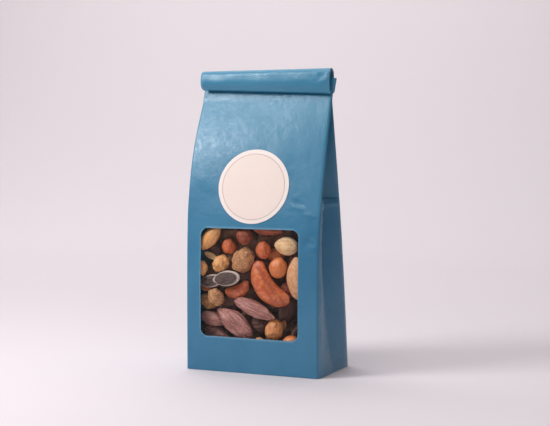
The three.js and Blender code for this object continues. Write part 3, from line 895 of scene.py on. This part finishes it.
    def build(self) -> bpy.types.Object:
        """Wraps a grid into the tube, closes its bottom, cuts the window and gives it its thickness.

        Returns:
            The finished bag.
        """
        rows = self.rows()
        count = len(rows[0])
        deselect()
        bpy.ops.mesh.primitive_grid_add(x_subdivisions=count, y_subdivisions=len(rows) - 1, size=1)
        sheet = added("folded_bag")
        places = np.array([[point for point, _ in row + row[:1]] for row in rows]) * MM
        wear_and_highlight = np.array([[share for _, share in row + row[:1]] for row in rows])
        set_places(sheet, places.reshape(-1, 3))
        mark(sheet, "fold", wear_and_highlight.ravel())
        edit(sheet, lambda: bpy.ops.mesh.remove_doubles(threshold=1e-6))
        self.close_bottom(sheet)
        apply_modifier(sheet, "SOLIDIFY", thickness=self.form.paper * MM, offset=-1.0, use_even_offset=False)
        self.cut_window(sheet)
        self.mark_cut(sheet)
        choose(sheet)
        bpy.ops.object.shade_smooth_by_angle(angle=self.smooth_below)
        finish_piece(sheet, PaperFinish().dress(), "bag_paper", ["bag_paper"])
        return sheet

    def close_bottom(self, sheet: bpy.types.Object) -> None:
        """Fills the floor of the tube and folds the bottom's edge in."""
        floor = self.form.paper * MM + 1e-6
        choose(sheet)
        select_where(sheet, lambda place: place.z < floor)
        for face in sheet.data.polygons:
            face.select = False
        bpy.ops.object.mode_set(mode="EDIT")
        bpy.ops.mesh.select_mode(type="EDGE")
        bpy.ops.mesh.extrude_edges_move()
        bpy.ops.transform.resize(value=(0.985, 0.975, 1.0))
        bpy.ops.mesh.edge_face_add()
        bpy.ops.mesh.select_all(action="SELECT")
        bpy.ops.mesh.normals_make_consistent(inside=False)
        bpy.ops.object.mode_set(mode="OBJECT")

    def cut_window(self, sheet: bpy.types.Object) -> None:
        """Cuts the window through the front panel with a block of rounded corners."""
        deselect()
        x, z = self.window_middle
        bpy.ops.mesh.primitive_cube_add(size=1, location=(x * MM, -self.form.depth * MM * 0.5, z * MM))
        cutter = added("window_cutter")
        cutter.scale = (self.window_width * MM, self.form.depth * MM * 0.5, self.window_height * MM)
        bpy.ops.object.transform_apply(location=True, rotation=True, scale=True)
        bpy.ops.object.mode_set(mode="EDIT")
        bpy.ops.mesh.select_all(action="DESELECT")
        bpy.ops.object.mode_set(mode="OBJECT")
        select_edges(cutter, lambda start, end: abs(start.y - end.y) > NEAR)
        bpy.ops.object.mode_set(mode="EDIT")
        bpy.ops.mesh.bevel(offset=self.window_corner * MM, segments=10, affect="EDGES")
        bpy.ops.object.mode_set(mode="OBJECT")
        apply_modifier(sheet, "BOOLEAN", operation="DIFFERENCE", object=cutter, solver="EXACT")
        bpy.data.objects.remove(cutter)

    def outline_distance(self, x: float, z: float) -> float:
        """Distance from the window's outline in millimetres, below 0 inside it."""
        corner = self.window_corner
        across = abs(x - self.window_middle[0]) - (self.window_width / 2 - corner)
        up = abs(z - self.window_middle[1]) - (self.window_height / 2 - corner)
        outside = math.hypot(max(across, 0.0), max(up, 0.0))
        return outside + min(max(across, up), 0.0) - corner

    def mark_cut(self, sheet: bpy.types.Object) -> None:
        """Marks the vertices along the window's cut, which show the paper's pale core."""
        near = []
        for x, y, z in places_of(sheet) / MM:
            away = self.outline_distance(x, z) if y < 0 else 99.0
            near.append(clamp(1 - abs(away) / 0.4))
        mark(sheet, "cut", near)


@dataclass
class BottomFolds:
    """Last flap of the folded bottom, glued flat over the others under the bag."""

    form: BagForm = field(default_factory=BagForm)
    reach: float = 9.0
    inset: float = 1.0
    taper: float = 12.0
    thickness: float = 0.2

    def build(self) -> bpy.types.Object:
        """Shapes a plane into the tapered flap and thickens it.

        Returns:
            The flap.
        """
        wide = (self.form.half - self.inset) * MM
        low = (self.inset - self.form.depth / 2) * MM
        high = self.reach * MM
        deselect()
        bpy.ops.mesh.primitive_plane_add(size=1)
        flap = added("bottom_flap")
        places = [(-wide, low, 0.0), (wide, low, 0.0), (-wide, high, 0.0), (wide, high, 0.0)]
        set_places(flap, np.array(places))
        choose(flap)
        select_where(flap, lambda place: place.y > 0)
        bpy.ops.object.mode_set(mode="EDIT")
        bpy.ops.mesh.bevel(offset=self.taper * MM * 0.7, segments=1, affect="VERTICES")
        bpy.ops.mesh.select_all(action="SELECT")
        bpy.ops.mesh.normals_make_consistent(inside=False)
        bpy.ops.object.mode_set(mode="OBJECT")
        apply_modifier(flap, "SOLIDIFY", thickness=self.thickness * MM, offset=1.0)
        finish_piece(flap, bpy.data.materials["blue_paper"], "bag_paper", [])
        return flap


@dataclass
class WindowFilm:
    """Clear film behind the window, which follows the inside of the front panel."""

    bag: BagPaper = field(default_factory=BagPaper)
    width: float = 73.8
    height: float = 75.2
    middle: tuple[float, float] = (-1.4, 53.9)
    air: float = 0.35
    thickness: float = 0.1

    def build(self) -> bpy.types.Object:
        """Bends a grid along the front panel and gives it its thickness.

        Returns:
            The film.
        """
        deselect()
        bpy.ops.mesh.primitive_grid_add(x_subdivisions=48, y_subdivisions=48, size=1)
        film = added("clear_window")
        bent = []
        for u, v, _ in places_of(film):
            x = self.middle[0] + u * self.width
            z = self.middle[1] + v * self.height
            y = self.bag.face(x, z) + self.bag.form.paper + self.air + 0.06 * ripple(x, 1.0, z, 16)
            bent.append((x, y, z))
        set_places(film, np.array(bent) * MM)
        edit(film, lambda: bpy.ops.mesh.normals_make_consistent(inside=False))
        apply_modifier(film, "SOLIDIFY", thickness=self.thickness * MM, offset=-1.0)
        choose(film)
        bpy.ops.object.shade_smooth_by_angle(angle=math.radians(40))
        finish_piece(film, FilmFinish().dress(), "window_film", ["window_film"])
        return film


@dataclass
class RoundLabel:
    """Round paper label on the leaning front panel."""

    bag: BagPaper = field(default_factory=BagPaper)
    diameter: float = 45.0
    middle: tuple[float, float] = (-0.3, 111.6)
    air: float = 0.12
    thickness: float = 0.15

    def build(self) -> bpy.types.Object:
        """Insets a circle into rings, lays it on the panel and thickens it.

        Returns:
            The label.
        """
        radius = self.diameter / 2
        x0, z0 = self.middle
        rise = self.bag.form.front(x0, z0 + radius) - self.bag.form.front(x0, z0 - radius)
        drop = math.cos(math.asin(rise / self.diameter))
        deselect()
        bpy.ops.mesh.primitive_circle_add(vertices=128, radius=1.0, fill_type="NGON")
        label = added("paper_label")
        bpy.ops.object.mode_set(mode="EDIT")
        bpy.ops.mesh.select_all(action="SELECT")
        for _ in range(11):
            bpy.ops.mesh.inset(thickness=1 / 12)
        bpy.ops.mesh.poke()
        bpy.ops.object.mode_set(mode="OBJECT")
        laid = []
        for u, v, _ in places_of(label):
            x, z = x0 + u * radius, z0 + v * radius * drop
            laid.append((x, self.bag.face(x, z) - self.air, z))
        set_places(label, np.array(laid) * MM)
        edit(label, lambda: bpy.ops.mesh.normals_make_consistent(inside=False))
        self.face_out(label)
        apply_modifier(label, "SOLIDIFY", thickness=self.thickness * MM, offset=1.0)
        choose(label)
        bpy.ops.object.shade_smooth_by_angle(angle=math.radians(40))
        centre = (x0 * MM, (self.bag.face(x0, z0) - self.air - self.thickness) * MM, z0 * MM)
        finish_piece(label, LabelFinish(radius * MM, centre).dress(), "label_paper", ["round_label"])
        return label

    @staticmethod
    def face_out(label: bpy.types.Object) -> None:
        """Turns the label's faces towards the front."""
        if sum(face.normal.y * face.area for face in label.data.polygons) > 0:
            edit(label, lambda: bpy.ops.mesh.flip_normals())


# The nuts


ALMOND_SKIN = KernelFinish(Skin.ALMOND, linear(207, 123, 63), linear(205, 140, 89), linear(108, 58, 37),
                           grooving=0.6, groove_scale=1.1, relief=0.5, roughness=0.55)
DUSTY_SKIN = KernelFinish(Skin.ALMOND, linear(176, 98, 84), linear(206, 142, 126), linear(88, 36, 34),
                          dust=linear(246, 226, 220), grooving=0.55, groove_scale=0.6, speckle=0.8,
                          speckle_scale=1.2, dusting=0.25, relief=0.5, roughness=0.4)
TAN_SKIN = KernelFinish(Skin.BLANCHED, linear(230, 172, 122), linear(248, 208, 166), linear(184, 114, 72),
                        grooving=0.5, groove_scale=1.8, relief=0.35, roughness=0.45)
BLANCHED_SKIN = KernelFinish(Skin.BLANCHED, linear(240, 172, 98), linear(248, 206, 152), linear(200, 118, 58),
                             grooving=0.45, groove_scale=0.8, speckle_scale=0.4, relief=0.3, roughness=0.4)
HAZEL_SKIN = KernelFinish(Skin.HAZELNUT, linear(216, 102, 49), linear(245, 143, 78), linear(133, 52, 24),
                          grooving=0.6, groove_scale=0.8, speckle=0.6, relief=0.4, roughness=0.46)
SMOOTH_SKIN = KernelFinish(Skin.HAZELNUT, linear(238, 134, 66), linear(236, 160, 99), linear(166, 85, 39),
                           grooving=0.35, groove_scale=0.6, relief=0.2, roughness=0.4)
DARK_SKIN = KernelFinish(Skin.HAZELNUT, linear(168, 77, 44), linear(201, 104, 61), linear(88, 37, 24),
                         grooving=0.6, groove_scale=0.9, speckle=0.6, relief=0.5, roughness=0.5)
CASHEW_SKIN = KernelFinish(Skin.CASHEW, linear(208, 96, 48), linear(238, 152, 92), linear(140, 52, 28),
                           grooving=0.5, groove_scale=0.4, speckle=0.65, speckle_scale=0.55, relief=0.3,
                           roughness=0.32)
CRUST_SKIN = KernelFinish(Skin.CRUST, linear(206, 134, 78), linear(250, 200, 140), linear(96, 46, 26),
                          grooving=0.4, groove_scale=0.7, speckle=0.8, speckle_scale=1.3, dusting=0.04,
                          relief=0.6, roughness=0.42)
GOLD_SKIN = KernelFinish(Skin.CRUST, linear(244, 150, 78), linear(248, 194, 130), linear(172, 84, 38),
                         grooving=0.35, groove_scale=0.6, speckle=0.8, speckle_scale=0.9, dusting=0.1,
                         relief=0.5, roughness=0.4)
SEAM_SKIN = KernelFinish(Skin.CRUST, linear(243, 172, 101), linear(248, 206, 140), linear(177, 103, 50),
                         grooving=0.4, groove_scale=0.4, speckle_scale=0.5, relief=0.4, roughness=0.5)
SHELL_SKIN = KernelFinish(Skin.SHELL, linear(88, 62, 56), linear(136, 106, 94), linear(40, 26, 24),
                          dust=linear(232, 214, 202), grooving=0.9, groove_scale=1.3, rim=0.9, dusting=0.05,
                          relief=0.7, roughness=0.42)
PALE_SHELL = KernelFinish(Skin.SHELL, linear(247, 202, 146), linear(248, 238, 195), linear(182, 126, 76),
                          grooving=0.6, groove_scale=0.8, rim=0.25, relief=0.35, roughness=0.5)
SHADED_SKIN = KernelFinish(Skin.ALMOND, linear(107, 67, 54), linear(130, 87, 72), linear(61, 35, 30),
                           relief=0.5, roughness=0.6)

KERNELS: dict[str, tuple[KernelFinish, str]] = {
    "pistachio_right": (PALE_SHELL, "nut_shell"),
    "sunflower_seed_top": (SHELL_SKIN, "nut_shell"),
    "sunflower_seed_low": (SHELL_SKIN, "nut_shell"),
    "seed_sliver": (PALE_SHELL, "nut_shell"),
    "seed_small_low": (ALMOND_SKIN, "nut_tan"),
    "chickpea_large": (CRUST_SKIN, "nut_tan"),
    "chickpea_seam": (SEAM_SKIN, "nut_tan"),
    "chickpea_gold": (CRUST_SKIN, "nut_tan"),
    "nugget_gold_low": (GOLD_SKIN, "nut_tan"),
    "almond_dusty_large": (DUSTY_SKIN, "nut_dusty"),
    "almond_dusty_long": (DUSTY_SKIN, "nut_dusty"),
    "almond_pink_upper": (DUSTY_SKIN, "nut_dusty"),
    "almond_pink_lower": (DUSTY_SKIN, "nut_dusty"),
    "almond_tan_right": (TAN_SKIN, "nut_tan"),
    "almond_blanched": (BLANCHED_SKIN, "nut_tan"),
    "almond_dark_top": (DARK_SKIN, "nut_brown"),
    "cashew_large": (CASHEW_SKIN, "nut_brown"),
    "cashew_small": (CASHEW_SKIN, "nut_brown"),
    "hazelnut_red": (HAZEL_SKIN, "nut_brown"),
    "hazelnut_orange": (HAZEL_SKIN, "nut_brown"),
    "hazelnut_smooth": (SMOOTH_SKIN, "nut_brown"),
    "hazelnut_dark": (DARK_SKIN, "nut_brown"),
    "hazelnut_dark_right": (DARK_SKIN, "nut_brown"),
    "hazelnut_low": (SMOOTH_SKIN, "nut_brown"),
    "hazelnut_upper_right": (SMOOTH_SKIN, "nut_brown"),
    "peanut_tan": (SEAM_SKIN, "nut_tan"),
    "peanut_gold_left": (SEAM_SKIN, "nut_tan"),
    "chip_pale_low": (PALE_SHELL, "nut_shell"),
    "chip_tan_low": (SEAM_SKIN, "nut_tan"),
    "skin_chip_left": (HAZEL_SKIN, "nut_brown"),
    "almond_shaded_left": (SHADED_SKIN, "nut_shaded"),
    "almond_shaded_right": (SHADED_SKIN, "nut_shaded"),
    "hazelnut_shaded_middle": (SHADED_SKIN, "nut_shaded"),
    "hazelnut_shaded_low": (SHADED_SKIN, "nut_shaded"),
    "hazelnut_shaded_top_left": (SHADED_SKIN, "nut_shaded"),
    "peanut_shaded_right": (SHADED_SKIN, "nut_shaded"),
}

FULLER: dict[str, float] = {"cashew_large": 1.3, "cashew_small": 0.4, "almond_dusty_large": 0.4,
                            "nugget_gold_low": 0.2}


def rounded_copy(node: str, name: str, levels: int, smoothing: int = 14,
                 keep_box: bool = True) -> bpy.types.Object:
    """Copies a CAD node, merges its vertices, subdivides and smooths it.

    Args:
        node: CAD node.
        name: Name of the copy.
        levels: Levels of subdivision.
        smoothing: Rounds of smoothing.
        keep_box: Whether the copy grows back to the node's own box.

    Returns:
        The rounded copy.
    """
    piece = bpy.data.objects.new(name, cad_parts[node].data.copy())
    piece.data.name = name
    bpy.context.scene.collection.objects.link(piece)
    edit(piece, lambda: bpy.ops.mesh.remove_doubles(threshold=2e-6))
    before = places_of(piece)
    apply_modifier(piece, "SUBSURF", levels=levels, render_levels=levels)
    apply_modifier(piece, "SMOOTH", factor=0.5, iterations=smoothing)
    if not keep_box:
        return piece
    after = places_of(piece)
    low, high = before.min(0), before.max(0)
    own_low, own_high = after.min(0), after.max(0)
    grown = (after - (own_low + own_high) / 2) * (high - low) / (own_high - own_low) + (low + high) / 2
    set_places(piece, grown)
    return piece


@dataclass
class Kernel:
    """One nut or seed, rounded from its CAD node and given the relief of its skin.

    fuller is how far it spreads sideways and up beyond its node, in millimetres.
    """

    node: str
    finish: KernelFinish
    slot: str
    fuller: float = 0.0

    def frame_of(self, places: np.ndarray) -> tuple[np.ndarray, np.ndarray]:
        """Middle of the nut and its own long, wide and thick directions, as rows."""
        middle = places.mean(0)
        _, turns = np.linalg.eigh(np.cov((places - middle).T))
        axes = turns.T[::-1].copy()
        along = (places - middle) @ axes[0]
        if (along ** 3).mean() < 0:
            axes[0] *= -1
        if axes[2][1] > 0:
            axes[2] *= -1
        axes[1] = np.cross(axes[2], axes[0])
        return middle, axes

    def lift(self, u: float, v: float, w: float, share: float) -> float:
        """Relief of the skin at one place, in millimetres.

        Args:
            u: Place along the nut.
            v: Place across it.
            w: Place through it.
            share: Distance from the middle line as a share of the outline.

        Returns:
            Height of the relief.
        """
        seed = float(len(self.node))
        if self.finish.skin is Skin.ALMOND:
            return 0.75 * ripple(u * 0.16 + seed, v, w, 1.7) + 0.5 * ripple(u * 0.4, v + seed, w, 4.5)
        if self.finish.skin is Skin.CRUST:
            return 0.8 * ripple(u + seed, v, w, 3.4) + 0.35 * ripple(u, v + seed, w, 1.3)
        if self.finish.skin is Skin.SHELL:
            ridge = 0.16 * math.sin(v * 4.2 + 0.6 * math.sin(u * 0.4))
            return ridge * (1 - share) + 0.28 * smoothstep(share, 0.7, 0.95)
        if self.finish.skin is Skin.HAZELNUT:
            return 0.35 * ripple(u * 0.35 + seed, v, w, 2.2) + 0.4 * ripple(u, v + seed, w, 6.0)
        return 0.45 * ripple(u * 0.5 + seed, v, w, 5.5) + 0.12 * ripple(u * 0.2, v, w, 1.6)

    def build(self) -> bpy.types.Object:
        """Rounds, shapes and dresses the nut.

        Returns:
            The nut.
        """
        nut = rounded_copy(self.node, f"{self.node}_nut", 3)
        places = places_of(nut)
        middle, axes = self.frame_of(places)
        own = (places - middle) @ axes.T / MM
        reach = np.hypot(own[:, 0] / np.abs(own[:, 0]).max(), own[:, 1] / np.abs(own[:, 1]).max())
        normals = np.array([vertex.normal[:] for vertex in nut.data.vertices])
        lifts = np.array([self.lift(*point, share) for point, share in zip(own, reach)])
        lifts -= lifts.max() * 0.6
        spread = normals * np.array((self.fuller, 0.0, self.fuller))
        set_places(nut, places + (normals * lifts[:, None] + spread) * MM)
        grain = nut.data.attributes.new("grain", "FLOAT_VECTOR", "POINT")
        grain.data.foreach_set("vector", own.astype(np.float32).ravel())
        mark(nut, "reach", reach)
        choose(nut)
        bpy.ops.object.shade_smooth()
        finish_piece(nut, self.finish.dress(self.node), self.slot, [self.node])
        return nut


@dataclass
class NutHeap:
    """The rest of the nuts, seen only in the dark gaps between the separate ones."""

    def dress(self) -> bpy.types.Material:
        """Builds the material: each nut of the heap a brown of its own, all painted dark as painted shade for
        the gaps.

        Returns:
            The material.
        """
        finish = Finish("heaped_nuts")
        place = finish.place()
        cells = finish.node("ShaderNodeTexVoronoi", "Color", Vector=place, Scale=85.0)
        tone, _, _ = finish.parts(cells)
        grain = finish.cloud(place, 420, 5, 0.6)
        # Painted shade: the heap's browns are far darker than the separate nuts, standing in for the shade in
        # the gaps between them.
        colour = finish.mix(tone, linear(88, 52, 38), linear(134, 90, 58))
        colour = finish.mix(grain.step(0.4, 0.7) * 0.5, colour, linear(58, 34, 26))
        normal = finish.bump(grain, 0.0006, 0.8)
        return finish.close(finish.shell(Base_Color=colour, Roughness=0.5 + grain * 0.2, Normal=normal))

    def build(self) -> bpy.types.Object:
        """Rounds the CAD block and dresses it.

        Returns:
            The heap.
        """
        heap = rounded_copy("nut_heap", "heaped_nuts", 2, smoothing=2, keep_box=False)
        choose(heap)
        bpy.ops.object.shade_smooth()
        finish_piece(heap, self.dress(), "nut_shaded", ["nut_heap"])
        return heap


# The studio


@dataclass(frozen=True)
class Lamp:
    """One square soft light: its place, side and aim in metres and its power in watts."""

    name: str
    place: Point
    size: float
    power: float
    aim: Point = (0.0, 0.0, 0.09)

    def add(self) -> None:
        """Adds the light to the scene."""
        deselect()
        bpy.ops.object.light_add(type="AREA", location=self.place)
        lamp = bpy.context.object
        lamp.name = self.name
        lamp.data.size = self.size
        lamp.data.energy = self.power
        lamp.rotation_euler = (Vector(self.aim) - Vector(self.place)).to_track_quat("-Z", "Y").to_euler()


@dataclass
class Studio:
    """Pale sweep, soft lights and the camera."""

    sweep_colour: Colour = linear(240, 229, 234)
    wall_at: float = 1.6
    sweep_half: float = 4.0
    lamps: tuple[Lamp, ...] = (
        Lamp("key_light", (-0.36, -0.37, 0.47), 0.22, 3.0),
        Lamp("top_light", (-0.06, -0.32, 0.85), 0.35, 2.4),
        Lamp("fill_light", (1.3, -1.5, 0.8), 0.8, 4.8),
        Lamp("wall_light", (-0.8, 0.7, 1.4), 1.4, 21.0, aim=(-0.8, 1.6, 0.3)),
        Lamp("floor_light", (0.35, 0.5, 1.5), 1.0, 4.4, aim=(0.2, 0.15, 0.0)),
    )
    air_light: float = 0.04
    wall_height: float = 3.5
    bend_radius: float = 0.9
    azimuth: float = math.radians(23.837)
    elevation: float = math.radians(3.090)
    distance: float = 0.758959
    aim: Point = (0.004608, 0.0, 0.094949)
    film_width: float = 36.0
    lens: float = 81.54085

    def sweep(self) -> None:
        """Floor that curves up into a wall behind the bag."""
        deselect()
        bpy.ops.mesh.primitive_plane_add(size=1)
        floor = added("pale_sweep")
        half = self.sweep_half
        set_places(floor, np.array([(-half, -half, 0), (half, -half, 0), (-half, self.wall_at, 0),
                                    (half, self.wall_at, 0)], float))
        choose(floor)
        select_where(floor, lambda place: place.y > 0)
        bpy.ops.object.mode_set(mode="EDIT")
        bpy.ops.mesh.extrude_edges_move(TRANSFORM_OT_translate={"value": (0, 0, self.wall_height)})
        bpy.ops.object.mode_set(mode="OBJECT")
        select_edges(floor, lambda *ends: all(
            abs(end.y - self.wall_at) < NEAR and end.z < NEAR for end in ends))
        bpy.ops.object.mode_set(mode="EDIT")
        bpy.ops.mesh.bevel(offset=self.bend_radius, segments=24, affect="EDGES")
        bpy.ops.object.mode_set(mode="OBJECT")
        bpy.ops.object.shade_smooth()
        finish = Finish("pale_sweep")
        grain = finish.cloud(finish.place(), 3.0, 3, 0.5)
        colour = finish.mix(grain * 0.08, linear(218, 210, 214), linear(206, 197, 201))
        floor.data.materials.append(finish.close(finish.shell(Base_Color=colour, Roughness=0.85)))

    def lights(self) -> None:
        """Close key light at the upper left, one from above, weak fill at the right, wall, floor and air."""
        for lamp in self.lamps:
            lamp.add()
        world = bpy.data.worlds.new("pale_air")
        world.use_nodes = True
        tree = world.node_tree
        air = tree.nodes["Background"]
        air.inputs["Color"].default_value = (*linear(240, 232, 238), 1.0)
        air.inputs["Strength"].default_value = self.air_light
        seen = tree.nodes.new("ShaderNodeBackground")
        seen.inputs["Color"].default_value = (*self.sweep_colour, 1.0)
        path = tree.nodes.new("ShaderNodeLightPath")
        both = tree.nodes.new("ShaderNodeMixShader")
        tree.links.new(path.outputs["Is Camera Ray"], both.inputs["Fac"])
        tree.links.new(air.outputs[0], both.inputs[1])
        tree.links.new(seen.outputs[0], both.inputs[2])
        tree.links.new(both.outputs[0], tree.nodes["World Output"].inputs["Surface"])
        bpy.context.scene.world = world
        bpy.context.scene.view_settings.view_transform = "Standard"

    def camera(self) -> None:
        """Camera at the place from which the bag was seen."""
        level = math.cos(self.elevation)
        back = Vector((math.sin(self.azimuth) * level, -math.cos(self.azimuth) * level,
                       math.sin(self.elevation)))
        deselect()
        bpy.ops.object.camera_add(location=Vector(self.aim) + back * self.distance)
        camera = bpy.context.object
        camera.name = "camera"
        camera.rotation_euler = (-back).to_track_quat("-Z", "Y").to_euler()
        camera.data.sensor_width = self.film_width
        camera.data.sensor_fit = "HORIZONTAL"
        camera.data.lens = self.lens
        bpy.context.scene.camera = camera

    def build(self) -> None:
        """Sets up the camera, the sweep and the lights."""
        self.camera()
        self.sweep()
        self.lights()


def main() -> None:
    """Builds and dresses every piece."""
    logging.basicConfig(level=logging.INFO, format="%(name)s: %(message)s")
    Studio().build()
    bag = BagPaper()
    bag.build()
    BottomFolds(bag.form).build()
    WindowFilm(bag).build()
    RoundLabel(bag).build()
    for node, (finish, slot) in KERNELS.items():
        Kernel(node, finish, slot, FULLER.get(node, 0.0)).build()
    NutHeap().build()


if __name__ == "__main__":
    main()
